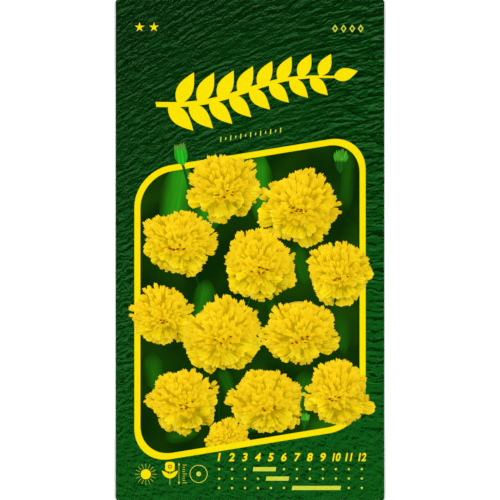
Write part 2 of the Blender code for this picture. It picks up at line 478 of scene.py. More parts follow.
def leather_folds(tree, across, x, y, lightness, fine):
    """Sparse folds: long ones, slanted ones in patches, and cracks with a light crest beside each."""
    long = emboss(tree, across, x, scale=0.60, stretch=0.15, reach=0.24, detail=4.0, roughness=0.60)
    long = long.beyond(lightness.ramp(0.45, 0.75, 0.012, 0.070)) * lightness.ramp(0.4, 0.8, 1.9, 3.6)
    leant = across - x * 0.4
    slanted = emboss(tree, leant, x, scale=1.1, stretch=0.24, reach=0.15, detail=3.0, roughness=0.6)
    in_patches = tree.noise(tree.combine(x, y, 40.0), 0.13, 1.0).ramp(0.42, 0.58, 0.0, 0.9)
    folds = long - 0.008 + fine * 0.25 + slanted * in_patches * lightness.ramp(0.5, 0.8, 1.0, 0.35)

    drift = tree.noise(tree.combine(across * 0.30, x * 0.14, 3.0), 1.0, 5.0, 0.66)
    open_at = tree.noise(tree.combine(across * 0.5, x * 0.10, 11.0), 1.0).ramp(0.30, 0.52)
    turn = across * (across * 0.006 + 2.55) + drift * 12.0
    crack = tree.math("SINE", turn).ramp(0.70, 1.0, 0.0, 0.30)
    crest = tree.math("SINE", turn + 1.0).ramp(0.5, 1.0, 0.0, 0.08)
    return folds + (crest - crack) * open_at


def leather_pores(tree, x, y, slant):
    """The coarse pores at the bottom, darker than they are light."""
    pores = emboss(tree, y, x + slant, scale=0.50, stretch=0.21, reach=0.25, detail=6.0, roughness=0.74)
    pores = pores.beyond(0.035) * x.ramp(-40.0, 30.0, 4.4, 3.4)
    return tree.math("MINIMUM", pores, pores * 0.40)


def leather_relief(tree, place, x, y, lightness):
    """How light or dark the relief is, with wrinkles, folds and pores each in their place."""
    ruffled = x.ease(*RUFFLED_X) * y.ease(*RUFFLED_Y)
    wander = (tree.noise(place, 0.10) - 0.5) * 2.6 + (tree.noise(place, 0.40, 2.0) - 0.5) * ruffled * 3.0
    across = y + x * (x * 0.0034 - y * 0.0018 - 0.29) + wander
    fine = emboss(tree, across, x, scale=2.0, stretch=1.4, reach=0.11, detail=2.0, roughness=0.7)
    wrinkles = leather_wrinkles(tree, across, x, fine) * ruffled.between(1.0, 1.5)
    folds = leather_folds(tree, across, x, y, lightness, fine)
    relief = tree.blend(x.ease(*FOLDS_X), wrinkles, folds)

    slant = x + y * 0.8
    at_bottom = y.ease(*PORES_Y)
    relief = tree.blend(at_bottom, relief, leather_pores(tree, x, y, slant))
    grain = emboss(tree, y - x, slant, scale=1.3, stretch=1.0, reach=0.12, detail=3.0, roughness=0.6)
    return relief + grain * tree.math("MAXIMUM", x.ramp(-34.0, 0.0, 0.55, 0.15), at_bottom * 0.5)


def leather_colour(tree):
    """Dark green leather, printed, and lighter towards the lower right."""
    place = tree.millimetres()
    x, y, _ = tree.split(place)
    lightness = (x * LIGHTER_SLANT - y).ramp(*LIGHTER_FROM_TO)
    relief = leather_relief(tree, place, x, y, lightness)
    base = tree.mix(lightness, srgb(0, 43, 0), srgb(18, 93, 26))
    light = tree.mix(lightness, srgb(47, 97, 53), srgb(37, 107, 43))
    dark = tree.mix(lightness, srgb(0, 31, 0), srgb(0, 34, 3))
    colour = tree.mix(relief.ramp(0.035, 0.155), base, light)
    darkest_at = lightness.ramp(0.6, 1.0, -0.09, -0.14)
    colour = tree.mix(relief.ramp(-0.02, darkest_at, 0.0, 0.92), colour, dark)
    patch = tree.noise(place, 0.16, 3.0, 0.6).ramp(0.3, 0.7, -0.3, 0.3)
    return tree.mix(abs(patch), colour, srgb(6, 66, 18))


def white_paper_material():
    """Bare paper at the cut edges and inside, slightly warm and fibrous."""
    tree = Tree("bare paper")
    fibre = tree.noise(tree.millimetres(), 1.4, 4.0, 0.65)
    colour = tree.mix(fibre.ramp(0.3, 0.7), srgb(236, 233, 222), srgb(250, 248, 240))
    paper_grain(tree, strength=0.25)
    return tree.finish(colour, roughness=0.8, specular=0.2)


def ink_colour(tree, first, second):
    """Flat ink with the slight mottle of offset printing, from one colour to another."""
    mottle = tree.noise(tree.millimetres(), 1.1, 3.0, 0.6)
    return tree.mix(mottle.ramp(0.35, 0.65), first, second)


def ground_colour(tree):
    """The picture's blurred, very dark green depth."""
    place = tree.millimetres()
    depth = tree.noise(place, 0.09).ease(0.32, 0.68)
    glow = tree.noise(place, 0.05, 1.0).ease(0.55, 0.75, 0.0, 0.6)
    return tree.mix(glow, tree.mix(depth, srgb(14, 44, 0), srgb(24, 58, 5)), srgb(37, 84, 14))


def soft_leaf_colour(tree):
    """Leaves and stems out of focus: they fade into the ground at their edges."""
    u, v, pick = tree.split(tree.carried("local"))
    side = abs(u)
    along = v.ease(0.0, 0.3) * v.ease(1.0, 0.7)
    soft = side.ease(1.0, 0.1) * along
    streak = tree.noise(tree.combine(u * 3.0, v * 1.5, pick), 1.0).ramp(0.3, 0.7, 0.8, 1.15)
    tone = side.ease(0.0, 0.12, 0.85, 1.0) * streak
    return tree.mix(soft, ground_colour(tree), tree.scale(tree.carried("tint"), tone))


def petal_colour(tree):
    """Petals: ochre at the foot, lemon at the tip. A broad petal's noise number is over 1."""
    place = tree.millimetres()
    u, v, pick = tree.split(tree.carried("local"))
    light, olive, root = tree.split(tree.carried("tint"))
    broad = tree.math("GREATER_THAN", pick, 1.0)

    def tone(narrow_petal, broad_petal, olive_petal):
        """A colour by the kind of petal, and by how olive it is."""
        return tree.mix(olive, tree.mix(broad, srgb(*narrow_petal), srgb(*broad_petal)), srgb(*olive_petal))

    streak_at = tree.combine(u * broad.between(2.6, 3.8), v * 0.9, pick * 37.0)
    streak = tree.noise(streak_at, 1.0, 3.0, 0.6)
    crumple = tree.noise(place, 1.05, 2.0, 0.55, 0.6)
    side = tree.math("POWER", abs(u), 3.0) * broad.between(0.08, 0.45)
    height = v - root + (streak - 0.5) * 0.7 + (crumple - 0.5) * 0.35 - side
    deep = tone((206, 167, 4), (192, 167, 8), (152, 138, 5))
    golden = tone((238, 193, 7), (242, 205, 11), (216, 183, 13))
    lemon = tone((252, 211, 19), (255, 224, 18), (242, 209, 27))
    rim = tree.mix(olive, srgb(255, 232, 66), srgb(240, 228, 92))
    warm = tree.mix(olive, srgb(238, 182, 6), srgb(206, 176, 10))
    colour = tree.mix(height.ease(-0.04, 0.24), deep, golden)
    colour = tree.mix(height.ease(0.18, 0.56), colour, lemon)
    colour = tree.mix(v.ramp(0.74, 1.0, 0.0, 0.55), colour, rim)
    colour = tree.mix(tree.noise(place, 0.32, 3.0, 0.6).ramp(0.45, 0.70, 0.0, 0.40), colour, warm)
    fold = streak.ramp(0.36, 0.50, broad.between(1.0, 0.76), 1.0)
    shade = light * fold * tree.noise(place, 0.55, 3.0, 0.6).ramp(0.3, 0.7, 0.93, 1.06)
    return tree.scale(colour, shade)


def bud_colour(tree):
    """Green buds and stems, ribbed along and darker at their sides."""
    u = tree.split(tree.carried("local"))[0]
    rib = tree.math("SINE", u * 11.0).ramp(-1.0, 1.0, 0.75, 1.1)
    tone = rib * abs(u).ramp(0.2, 1.0, 1.0, 0.6)
    return tree.scale(tree.carried("tint"), tone)


def speck_colour(tree):
    """Dark gaps at the hearts of the blooms."""
    u, v, _ = tree.split(tree.carried("local"))
    far = tree.math("SQRT", u * u + v * v)
    return tree.mix(far.ease(0.3, 1.0), srgb(104, 58, 4), srgb(206, 150, 8))


# The print as flat regions


def edges(outline):
    """Each edge of an outline, by its two ends."""
    return zip(outline, outline[1:] + outline[:1])


def signed_area(outline):
    """Twice the area that an outline encloses, above zero where it runs anticlockwise."""
    return sum(x0 * y1 - x1 * y0 for (x0, y0), (x1, y1) in edges(outline))


def split_long_edges(outline):
    """The outline with points added, so that the ink can follow the curved paper."""
    points = []
    for (x0, y0), (x1, y1) in edges(outline):
        pieces = max(1, math.ceil(math.hypot(x1 - x0, y1 - y0) / LONGEST_EDGE))
        points += [(x0 + (x1 - x0) * i / pieces, y0 + (y1 - y0) * i / pieces) for i in range(pieces)]
    return points


class Print:
    """Flat regions in painting order. The last one over a point shows there."""

    def __init__(self):
        self.within_frame = False
        self.points = []
        self.faces = []
        self.region_of_face = []
        self.kinds = []
        self.inside_frame = []
        self.axes = []
        self.tints = []

    def start(self, kind, tint=(1.0, 1.0, 1.0), axes=((0, 0), (1, 0), (0, 1), 0.0)):
        """Starts a region. axes are its origin, its u and v directions, and a number for its noise."""
        origin, u_way, v_way, pick = axes
        self.kinds.append(kind)
        self.tints.append(tint)
        self.axes.append((*origin, *u_way, *v_way, pick))
        self.inside_frame.append(self.within_frame)

    def fill(self, outline):
        """Adds an outline to the latest region, turned to run anticlockwise. A sliver is left out."""
        area = signed_area(outline)
        if abs(area) < SLIVER:
            return
        if area < 0:
            outline = outline[::-1]
        outline = split_long_edges(outline)
        start = len(self.points)
        self.points.extend(outline)
        self.faces.append(list(range(start, start + len(outline))))
        self.region_of_face.append(len(self.kinds) - 1)

    def strip(self, pairs):
        """Fills the band between two lines, given as pairs of points along them."""
        for (left0, right0), (left1, right1) in zip(pairs, pairs[1:]):
            self.fill([left0, right0, right1, left1])

    def ring(self, outer, inner):
        """Fills the band between two outlines that have the same number of points."""
        self.strip([*zip(outer, inner), (outer[0], inner[0])])

    def shape(self, kind, outline, **facts):
        """A region of one outline."""
        self.start(kind, **facts)
        self.fill(outline)

    def local_shape(self, kind, outline, foot, way, half, length, pick, **facts):
        """A region whose outline is given in its own u and v, with v along the bearing way."""
        axes = (foot, place((0, -half), turn=way), place((length, 0), turn=way), pick)
        self.shape(kind, placed(outline, foot, way, half, length), axes=axes, **facts)


def placed(outline, foot, way, half, length):
    """An outline given in u and v, as points of the print."""
    return [place((v * length, -u * half), foot, way) for u, v in outline]


def place(point, centre=(0, 0), turn=0.0):
    """A point turned and moved."""
    c, s = math.cos(turn), math.sin(turn)
    return (centre[0] + c * point[0] - s * point[1], centre[1] + s * point[0] + c * point[1])


def circle(centre, radius, steps):
    """A circle's outline."""
    return [place((radius, 0), centre, 2 * math.pi * i / steps) for i in range(steps)]


def box_outline(low, high):
    """A rectangle's outline."""
    return [(low[0], low[1]), (high[0], low[1]), (high[0], high[1]), (low[0], high[1])]


def upright(x, low, high, half):
    """The outline of an upright stroke."""
    return box_outline((x - half, low), (x + half, high))


def level(y, left, right, half):
    """The outline of a level stroke."""
    return box_outline((left, y - half), (right, y + half))


def rounded_box(low, high, radius, steps=6):
    """A rounded rectangle's outline."""
    outline = []
    for right, top, start in ((1, 1, 0), (0, 1, 90), (0, 0, 180), (1, 0, 270)):
        x = high[0] - radius if right else low[0] + radius
        y = high[1] - radius if top else low[1] + radius
        outline += [place((radius, 0), (x, y), math.radians(a)) for a in spread(start, start + 90, steps)]
    return outline


def inset_box(low, high, inset, radius, steps=6):
    """A rounded rectangle's outline, inset by a distance."""
    low = (low[0] + inset, low[1] + inset)
    high = (high[0] - inset, high[1] - inset)
    return rounded_box(low, high, radius, steps)


def frame_outline(inset):
    """The frame's outline, inset by a distance."""
    low, high = (-FRAME_HALF_WIDTH, FRAME_BOTTOM), (FRAME_HALF_WIDTH, FRAME_TOP)
    box = inset_box(low, high, inset, FRAME_RADIUS - FRAME_RADIUS_LOSS * inset, CORNER_STEPS)
    return [(x, y + FRAME_RISE * x) for x, y in box]


def petal_outline(rng, lobes, broad):
    """A petal in its own u and v: narrow foot, broad blade, ragged or scalloped tip."""
    left = [(-0.62, 0.0), (-0.84, 0.34), (-0.98, 0.64)]
    right = [(0.98, 0.64), (0.84, 0.34), (0.62, 0.0)]
    points_per_lobe, notch, arch, jitter = (4, 0.11, 0.30, 0.03) if broad else (2, 0.17, 0.10, 0.08)
    steps = points_per_lobe * lobes
    tip = []
    for i in range(steps + 1):
        u = -0.95 + 1.9 * i / steps
        crest = 1.0 - notch * (1 - abs(math.sin(math.pi * lobes * i / steps)))
        tip.append((u + rng.uniform(-jitter, jitter), crest - arch * u * u + rng.uniform(-jitter, jitter)))
    return left + tip + right


class Dome:
    """The rounded head of a bloom as the picture shows it, leaning towards the eye."""

    def __init__(self, rng, centre, radius):
        self.radius = radius
        self.tilt = BLOOM_TILT * rng.uniform(0.75, 1.25)
        self.roll = rng.uniform(-0.35, 0.35)
        self.waves = [(k, rng.uniform(0, 2 * math.pi), rng.uniform(0.02, 0.07)) for k in (2, 3, 5, 7)]
        self.middle = Vector(centre) + Vector(place((0, 0.3 * self.sag()), turn=self.roll))
        self.heart = Vector(centre) - Vector(place((0, 0.7 * self.sag()), turn=self.roll))

    def sag(self):
        """How far below the middle the heart shows."""
        return BLOOM_HEIGHT * math.sin(self.tilt) * self.radius

    def leant(self, theta, phi, height):
        """A place on a leaning head of radius 1: x and y in the picture, and z towards the eye."""
        out, up = math.sin(theta), math.cos(theta) * height
        y = out * math.sin(phi) * math.cos(self.tilt) - up * math.sin(self.tilt)
        z = out * math.sin(phi) * math.sin(self.tilt) + up * math.cos(self.tilt)
        return Vector((*place((out * math.cos(phi), y), turn=self.roll), z))

    def normal(self, theta, phi):
        """The direction that the head faces at a place on it."""
        return self.leant(theta, phi, 1.0)

    def point(self, theta, phi, grow=1.0):
        """A place on the head, in the picture's plane."""
        size = self.radius * grow * (1 + sum(d * math.sin(k * phi + a) for k, a, d in self.waves))
        return self.middle + self.leant(theta, phi, BLOOM_HEIGHT).xy * size


def draw_bloom(art, rng, centre, radius):
    """A full double bloom: a fine-petalled crest over a skirt of broad petals, outer ones first."""
    dome = Dome(rng, centre, radius)
    spin = rng.uniform(0, 2 * math.pi)
    half_width, half_height = radius * BACKING_HALF_WIDTH, radius * BACKING_HALF_HEIGHT
    art.local_shape(PETAL, circle((0, 0), 1.0, 40), dome.middle, UP, half_width, half_height,
                    rng.random(), tint=BACKING_TINT)
    for k in range(RIM_PETALS):
        phi = spin + 2 * math.pi * (k + rng.uniform(-0.3, 0.3)) / RIM_PETALS
        draw_crest_petal(art, rng, dome, RIM_LEAN, phi, 1.0)
    for count, lean, reach, least, most in SKIRT_TIERS:
        order = list(range(count))
        rng.shuffle(order)
        for k in order:
            across = 2 * (k + 0.5 + rng.uniform(-0.35, 0.35)) / count - 1
            phi = SKIRT_HALF_ANGLE * across - math.pi / 2
            theta = math.radians(lean) + rng.uniform(-0.08, 0.08)
            draw_skirt_petal(art, rng, dome, theta, phi, reach, rng.uniform(least, most))
    for k in reversed(range(CREST_PETALS)):
        share = (k + 0.5) / CREST_PETALS
        phi = spin + k * math.pi * (3 - math.sqrt(5)) + rng.uniform(-0.14, 0.14)
        if -math.sin(phi) * share > rng.uniform(0.05, 0.17):
            continue
        theta = math.radians(HEART_LEAN + CREST_LEAN * share ** CREST_LEAN_POWER) + rng.uniform(-0.07, 0.07)
        draw_crest_petal(art, rng, dome, theta, phi, share)
    draw_heart(art, rng, dome)


def draw_crest_petal(art, rng, dome, theta, phi, share):
    """A narrow ragged petal. share runs from the heart at 0 to the rim at 1."""
    droop = max(0.0, -math.sin(phi)) * share
    foot = dome.point(theta - 0.20 - 0.16 * share, phi)
    tip = dome.point(theta, phi, 1.0 + 0.09 * share - 0.06 * droop + rng.uniform(-0.03, 0.05))
    half = dome.radius * (0.048 + 0.026 * share + 0.04 * droop) * rng.uniform(0.65, 1.35)
    root = 0.14 + rng.uniform(-0.12, 0.12)
    olive = 0.5 * max(0.0, share - 0.6) + rng.uniform(-0.2, 0.2)
    draw_petal(art, rng, dome, (theta, phi), foot, tip, half, root, olive, rng.choice((2, 2, 3)), False)


def draw_skirt_petal(art, rng, dome, theta, phi, reach, grow):
    """A broad petal with a scalloped edge, hanging below the crest."""
    foot = dome.point(theta - reach, phi)
    tip = dome.point(theta, phi, grow)
    half = dome.radius * rng.uniform(0.19, 0.29)
    root = rng.uniform(0.02, 0.26)
    olive = rng.uniform(-0.3, 0.3)
    draw_petal(art, rng, dome, (theta, phi), foot, tip, half, root, olive, rng.choice((2, 3)), True)


def draw_petal(art, rng, dome, faces, foot, tip, half, root, olive, lobes, broad):
    """One petal of a bloom, lit by the way it faces: root is how far up it stays deep in colour."""
    reach = Vector(tip) - Vector(foot)
    way = math.atan2(reach.y, reach.x) + rng.gauss(0.0, 0.2)
    length = max(reach.length, dome.radius * 0.18)
    facing = dome.normal(*faces)
    base = SKIRT_LIGHT if broad else CREST_LIGHT
    light = base + FACING_LIGHT * facing.dot(KEY_LIGHT) + rng.uniform(-0.06, 0.06)
    olive = min(1.0, max(0.0, olive + 0.5 * (0.5 - facing.z)))
    outline = petal_outline(rng, lobes, broad)
    art.local_shape(PETAL, outline, foot, way, half, length, rng.random() + broad, tint=(light, olive, root))


def draw_heart(art, rng, dome):
    """Small dark gaps between the innermost petals, most of them along a level line."""
    radius = dome.radius
    for _ in range(rng.randint(5, 9)):
        size = radius * rng.uniform(0.026, 0.052)
        shift = place((rng.uniform(-0.28, 0.28) * radius, rng.uniform(-0.1, 0.1) * radius), turn=dome.roll)
        way = UP + rng.uniform(-0.6, 0.6)
        art.local_shape(SPECK, circle((0, 0), 1.0, 8), dome.heart + Vector(shift), way,
                        size * rng.uniform(1.0, 1.8), size * 0.8, rng.random())


def bend_points(start, bend, end, steps):
    """Points along a smooth bend that leaves start towards bend and comes to end from it."""
    return [tuple((1 - t) ** 2 * a + 2 * t * (1 - t) * b + t * t * c for a, b, c in zip(start, bend, end))
            for t in spread(0.0, 1.0, steps)]


def mirrored(half):
    """A whole outline from its right half, which runs upwards."""
    return half + [(-u, v) for u, v in reversed(half) if u > 0]


def lance(steps=12, fullest=0.45):
    """A lance-shaped leaf outline, from its foot at v = 0 to its point at v = 1."""
    bend = math.log(0.5) / math.log(fullest)
    side = [(math.sin(math.pi * (i / steps) ** bend), i / steps) for i in range(1, steps)]
    return mirrored([(0.0, 0.0), *side, (0.0, 1.0)])


def leaf_outline(foot, way, length, half, steps, fullest):
    """A lance-shaped leaf from its foot, pointing along a bearing."""
    return placed(lance(steps, fullest), foot, way, half, length)


def draw_soft_leaves(art, rng):
    """Blurred leaves and stems behind the blooms."""
    for x, y, way, length, half, bright in SOFT_LEAVES:
        green = tint_of(24 + 20 * bright, 58 + 82 * bright, 6 + 16 * bright)
        art.local_shape(SOFT_LEAF, lance(), (x, y), way, half, length, rng.random(), tint=green)


def draw_stem(art, start, bend, end, half, bright):
    """A thin curved stem, as one region."""
    art.start(BUD, tint=tint_of(28 * bright, 128 * bright, 30 * bright))
    steps = 10
    halves = spread(half * 0.6, half, steps)
    points = bend_points(start, bend, end, steps)
    art.strip([((x - width, y), (x + width, y)) for (x, y), width in zip(points, halves)])


def draw_cup(art, rng, half, centre, width, height, turn, tint):
    """A bud's green cup, from its right half."""
    art.local_shape(BUD, mirrored(half), centre, UP + turn, width, height, rng.random(), tint=tint)


def draw_tooth(art, rng, foot, turn, half, length, tint, fullest=0.45):
    """One narrow pointed leaf of a bud."""
    art.local_shape(BUD, lance(8, fullest), foot, UP + turn, half, length, rng.random(), tint=tint)


def draw_closed_bud(art, rng, centre, turn):
    """A long bud still closed: a bright ribbed cup that fades into olive teeth."""
    width, height, row_half, tooth_half, fan = 2.0, 2.5, 1.25, 0.62, 0.10
    for teeth, foot, length, tint in ((5, 1.0, 3.3, (96, 150, 58)), (4, 0.2, 3.1, (70, 172, 48))):
        for share in middles(teeth):
            lean = turn - share * fan + rng.uniform(-0.06, 0.06)
            start = place((share * row_half, foot), centre, turn)
            draw_tooth(art, rng, start, lean, tooth_half, length * rng.uniform(0.85, 1.05), tint_of(*tint))
    half = [(0.10, -1.0), (0.34, -0.86), (0.66, -0.55), (0.90, -0.16), (1.0, 0.3), (0.96, 0.75),
            (0.84, 1.0), (0.55, 0.72), (0.28, 1.02), (0.0, 0.74)]
    draw_cup(art, rng, half, centre, width, height, turn, tint_of(44, 192, 40))


def draw_bud(art, rng, centre, size, turn, bright):
    """A bud: a dark ribbed cup with a crown of bright narrow teeth."""
    half = [(0.16, -1.75), (0.5, -1.35), (0.86, -0.8), (0.98, -0.25), (0.86, 0.25)]
    dim = tint_of(34 * bright, 112 * bright, 28 * bright)
    width, rows, most_teeth, tooth_half, fan = size * 0.8, 3, 7, size * 0.15, 0.3
    draw_cup(art, rng, half, centre, width, size, turn, dim)
    for row in range(rows):
        for share in middles(most_teeth - row):
            foot = place((share * size * (0.66 - 0.1 * row), size * (-0.5 + 0.2 * row)), centre, turn)
            lean = turn - share * fan + rng.uniform(-0.1, 0.1)
            length = size * (1.35 - 0.3 * share * share + rng.uniform(-0.1, 0.1))
            lit = tint_of(*(c * bright * rng.uniform(0.8, 1.05) for c in (92, 216, 52)))
            draw_tooth(art, rng, foot, lean, tooth_half, length, lit, fullest=0.6)


def draw_picture(art, rng):
    """The picture: ground, leaves, the cut bloom, the frame's band, then what stands over the band."""
    outer, middle, inner = (frame_outline(FRAME_BAND * share) for share in (0.0, 0.5, 1.0))
    art.shape(GROUND, middle)
    art.within_frame = True
    for stem in THIN_STEMS:
        draw_stem(art, *stem)
    draw_soft_leaves(art, rng)
    draw_bud(art, rng, *LOW_BUD)
    draw_bloom(art, rng, *CUT_BLOOM)
    art.within_frame = False
    art.start(INK)
    art.ring(outer, inner)
    draw_stem(art, *CLOSED_BUD_STEM)
    draw_closed_bud(art, rng, *CLOSED_BUD)
    draw_stem(art, *HIGH_BUD_STEM)
    draw_bud(art, rng, *HIGH_BUD)
    for centre, radius in BLOOMS:
        draw_bloom(art, rng, centre, radius)


# The marks on the front


def star(centre, radius):
    """A star's outline: five points, and an inner corner after each."""
    return [place((0, radius * (STAR_INNER_SHARE if i % 2 else 1.0)), centre, math.pi * i / 5)
            for i in range(10)]


def thick_line(start, end, half):
    """The outline of a straight stroke."""
    start, end = Vector(start), Vector(end)
    way = (end - start).normalized() * half
    side = Vector((-way.y, way.x))
    return [start - side, end - side, end + side, start + side]


def draw_sprig(art):
    """A bold slanting sprig of leaves across the top."""
    art.start(INK)
    half_length, half_stem, wave, stem_steps, leaf_steps = 27.0, 0.75, 1.5, 36, 7
    pairs = []
    for x in spread(-half_length, half_length, stem_steps):
        y = wave * math.sin(x / half_length * math.pi)
        width = half_stem * (1.0 - 0.6 * max(0.0, x / half_length))
        pairs.append([place((x, y + side * width), SPRIG_CENTRE, TITLE_TURN) for side in (-1, 1)])
    art.strip(pairs)
    first, last = 5.0 - half_length, half_length - 6.0
    stagger, splay, steps, fullest = 1.4, math.radians(54), 14, 0.42
    for share in spread(0.0, 1.0, leaf_steps):
        x = first + (last - first) * share
        y = wave * math.sin(x / half_length * math.pi)
        length, half = 10.6 - 3.2 * share, 2.35 - 0.5 * share
        for side in (-1, 1):
            foot = place((x + side * stagger, y), SPRIG_CENTRE, TITLE_TURN)
            art.fill(leaf_outline(foot, TITLE_TURN + side * splay, length, half, steps, fullest))
    tip, tip_lean, tip_length, tip_half = (half_length - 0.5, 0.0), 0.1, 7.4, 1.9
    foot = place(tip, SPRIG_CENTRE, TITLE_TURN)
    art.fill(leaf_outline(foot, TITLE_TURN + tip_lean, tip_length, tip_half, steps, fullest))


def draw_rule(art):
    """A row of short slanting strokes under the sprig, long and short in turn."""
    art.start(THIN)
    strokes, pitch, lean, half_height, half_width = 13, 1.5, 0.15, 0.7, 0.16
    for i in range(strokes):
        x = (i - (strokes - 1) / 2) * pitch
        y = half_height / 2 if i % 2 else half_height
        start, end = (place((x + s * lean, s * y), RULE_CENTRE, TITLE_TURN) for s in (-1, 1))
        art.fill(thick_line(start, end, half_width))


def draw_top_marks(art):
    """Two stars on the left and four small open lozenges on the right."""
    art.start(INK)
    for x in STAR_XS:
        art.fill(star((x, TOP_MARKS_Y), STAR_RADIUS))
    art.start(THIN)
    outer, inner = (0.85, 1.2), (0.45, 0.65)
    for i in range(LOZENGES):
        centre = (LOZENGE_X + LOZENGE_PITCH * i, TOP_MARKS_Y - LOZENGE_DROP)
        art.ring(lozenge(centre, *outer), lozenge(centre, *inner))


def lozenge(centre, half_width, half_height):
    """A lozenge's outline."""
    x, y = centre
    return [(x - half_width, y), (x, y - half_height), (x + half_width, y), (x, y + half_height)]


def draw_sun(art):
    """A small sun with thin rays."""
    art.shape(INK, circle(SUN_CENTRE, SUN_CORE, 40))
    art.start(THIN)
    count, gap, half_width = 16, 0.26, 0.048
    for i in range(count):
        bearing = 2 * math.pi * i / count
        start, end = (place((reach, 0), SUN_CENTRE, bearing) for reach in (SUN_CORE + gap, SUN_REACH))
        art.fill(thick_line(start, end, half_width))


def draw_plant_mark(art):
    """A small plant mark: round flower, two broad leaves, thin stem."""
    x, y = PLANT_CENTRE
    root_low, root_high, root_half = y - 3.15, y - 1.2, 0.07
    stem_low, stem_high, stem_half = y - 0.3, y + 0.9, 0.12
    art.shape(THIN, upright(x, root_low, root_high, root_half))
    art.start(INK)
    flower, radius, wave, petals = (x, y + 2.24), 1.53, 0.13, 4
    bearings = spread(0.0, 2 * math.pi, 60)[:-1]
    art.fill([place((radius - wave * math.cos(petals * a), 0), flower, a) for a in bearings])
    art.fill(upright(x, stem_low, stem_high, stem_half))
    tip, below, above = (2.4, 1.04), (1.95, -0.97), (0.88, 0.69)
    fork, notch = (0.0, -1.27), (0.0, -0.18)
    leaf = bend_points(tip, below, fork, 12) + bend_points(notch, above, tip, 8)[:-1]
    for side in (-1, 1):
        art.fill([(x + side * across, y + up) for across, up in leaf])
    heart, outer, inner = 0.8, 0.64, 0.31
    art.start(SPECK, axes=(flower, (heart, 0), (0, heart), 0.0))
    art.ring(circle(flower, outer, 24), circle(flower, inner, 24))


def draw_scale_mark(art):
    """An upright double arrow with a row of ticks beside it."""
    art.start(THIN)
    x, low, high = SCALE_X, SCALE_LOW, SCALE_HIGH
    shaft_half, shaft_inset, head_half, head_length = 0.055, 0.6, 0.34, 0.8
    art.fill(upright(x, low + shaft_inset, high - shaft_inset, shaft_half))
    for point, back in ((low, low + head_length), (high, high - head_length)):
        art.fill([(x - head_half, back), (x, point), (x + head_half, back)])
    ticks_x, ticks_low, ticks_high, ticks = x + 1.1, low + 0.55, high - 0.75, 9
    tick_half, long, short = 0.08, 1.25, 0.7
    for i, y in enumerate(spread(ticks_low, ticks_high, ticks - 1)):
        length = short if i % 4 else long
        art.fill(level(y, ticks_x, ticks_x + length, tick_half))


def draw_spacing_mark(art):
    """A ring round a dot."""
    art.start(THIN)
    outer, inner, dot = 2.67, 2.47, 0.71
    art.ring(circle(SPACING_CENTRE, outer, 48), circle(SPACING_CENTRE, inner, 48))
    art.fill(circle(SPACING_CENTRE, dot, 24))


def draw_number(art, number, centre, size, bold, width=1.0, lean=0.0):
    """A plain number about a centre. A width below 0 mirrors it."""
    curve = bpy.data.curves.new("number", "FONT")
    configured(curve, body=str(number), size=size, offset=bold, resolution_u=4,
               align_x="CENTER", align_y="CENTER")
    obj = add_object("number", curve)
    mesh = bpy.data.meshes.new_from_object(obj.evaluated_get(bpy.context.evaluated_depsgraph_get()))
    bpy.data.objects.remove(obj)
    mesh.calc_loop_triangles()
    points = [(centre[0] + width * v.co.x + lean * v.co.y, centre[1] + v.co.y) for v in mesh.vertices]
    for triangle in mesh.loop_triangles:
        art.fill([points[i] for i in triangle.vertices])
    bpy.data.meshes.remove(mesh)


def draw_calendar(art):
    """A sowing calendar: the months' numbers over three rows, with bars under the right months."""
    xs = [CALENDAR_LEFT + CALENDAR_PITCH * i for i in range(MONTHS)]
    art.start(INK)
    for index, x in enumerate(xs):
        width = 1.0 if index < 9 else TWO_DIGIT_WIDTH
        centre = (x, NUMBERS_Y)
        draw_number(art, index + 1, centre, NUMBER_SIZE, NUMBER_BOLD, width, NUMBER_LEAN)
    half = CALENDAR_PITCH / 2
    for y, marked in CALENDAR_ROWS:
        art.start(THIN)
        for index, x in enumerate(xs):
            if index not in marked:
                art.fill(circle((x, y), DOT_RADIUS, 16))
                continue
            left = x - (half if index - 1 in marked else BAR_END)
            right = x + (half if index + 1 in marked else BAR_END)
            bar = level(0.0, left, right, BAR_HALF_HEIGHT)
            art.fill([(px + NUMBER_LEAN * py, y + py) for px, py in bar])


def draw_front():
    """Everything printed over the front's leather ground."""
    art = Print()
    draw_picture(art, random.Random(PICTURE_SEED))
    for draw in (draw_sprig, draw_rule, draw_top_marks, draw_sun, draw_plant_mark, draw_scale_mark,
                 draw_spacing_mark, draw_calendar):
        draw(art)
    return art


# The back's print


def draw_back():
    """A pale panel of plain sowing marks. It is seen from behind, so its x runs the other way."""
    art = Print()
    art.shape(INK, rounded_box(BACK_LOW, BACK_HIGH, BACK_RADIUS))
    art.shape(FIELD, inset_box(BACK_LOW, BACK_HIGH, BACK_BAND, BACK_RADIUS - BACK_BAND))
    pitch_x = (BACK_HIGH[0] - BACK_LOW[0] - 2 * BACK_MARGIN) / BACK_COLUMNS
    for index in range(MONTHS):
        row, column = divmod(index, BACK_COLUMNS)
        x = BACK_HIGH[0] - BACK_MARGIN - (column + 0.5) * pitch_x
        y = BACK_GRID_TOP - (row + 0.5) * BACK_PITCH
        low, high = (x - pitch_x / 2, y - BACK_PITCH / 2), (x + pitch_x / 2, y + BACK_PITCH / 2)
        box = inset_box(low, high, BACK_BOX_GAP, BACK_BOX_RADIUS)
        art.start(DARK_INK)
        if index in BACK_FILLED:
            art.fill(box)
            art.start(FIELD)
        else:
            inner = inset_box(low, high, BACK_BOX_GAP + BACK_BOX_LINE, BACK_BOX_RADIUS - BACK_BOX_LINE)
            art.ring(box, inner)
        draw_number(art, index + 1, (x, y), BACK_NUMBER_SIZE, NUMBER_BOLD / 2, width=-1.0)
    draw_back_guides(art)
    return art


